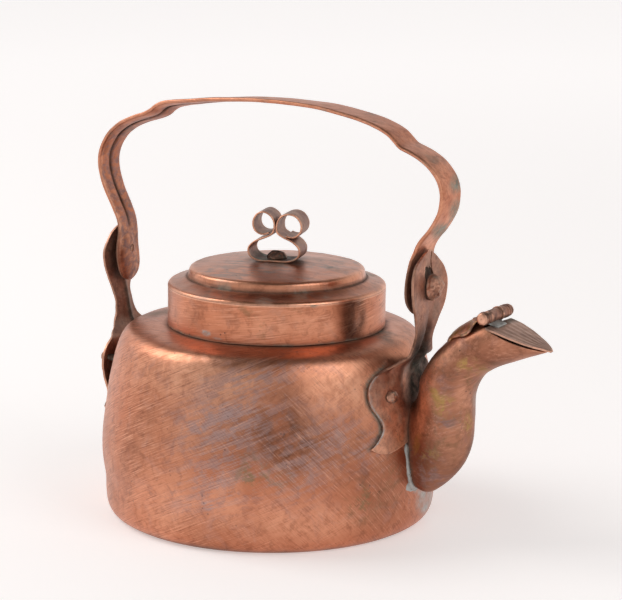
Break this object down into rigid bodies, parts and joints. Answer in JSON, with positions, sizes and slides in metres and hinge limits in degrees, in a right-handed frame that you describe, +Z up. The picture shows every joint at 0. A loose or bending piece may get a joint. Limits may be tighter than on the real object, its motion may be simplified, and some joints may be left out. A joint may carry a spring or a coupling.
{
  "type": "copper kettle",
  "caption": "Hand-raised copper kettle with a swinging strap bail, lift-off lid with a scrolled knob, and a swan-neck spout closed by a hinged flap.",
  "frame": {"origin": "centre of the base, on the ground face", "axes": "+X towards the spout, +Z up; the bail's plane at rest is XZ"},
  "size_m": [0.2727, 0.1802, 0.2209],
  "materials": {
    "copper_wall": "worn, scratched copper",
    "copper_spout": "worn copper with brazing stains",
    "copper_bail": "handled copper strap",
    "copper_lid": "worn copper",
    "copper_knob": "dark toned copper",
    "copper_fittings": "dull copper",
    "copper_rivets": "hammered copper",
    "solder": "dull grey solder"
  },
  "bodies": {
    "kettle": {"kettle_body": "copper_wall", "base_plate": "copper_wall", "neck_collar": "copper_wall", "spout": "copper_spout", "spout_solder": "solder", "front_ear": "copper_fittings", "rear_ear": "copper_fittings", "front_ear_rivets": "copper_rivets", "rear_ear_rivets": "copper_rivets", "front_pivot": "copper_rivets", "rear_pivot": "copper_rivets", "spout_hinge_strap": "copper_fittings", "flap_pin": "copper_rivets"},
    "bail": {"bail_handle": "copper_bail"},
    "lid": {"lid_band": "copper_lid", "lid_crown": "copper_lid", "lid_knob": "copper_knob", "knob_rivet": "copper_rivets"},
    "flap": {"flap_leaf": "copper_fittings", "flap_knuckle": "copper_fittings"}
  },
  "joints": [
    {"name": "bail_swing", "type": "hinge", "parent": "kettle", "child": "bail", "pos_m": [0, 0, 0.132], "axis": [1, 0, 0], "range_deg": [-106, 106]},
    {"name": "lid_lift", "type": "slide", "parent": "kettle", "child": "lid", "axis": [0, 0, 1], "range_m": [0, 0.045]},
    {"name": "flap_lift", "type": "hinge", "parent": "kettle", "child": "flap", "pos_m": [0.133, 0, 0.1219], "axis": [0, -1, 0], "range_deg": [0, 100]}
  ]
}
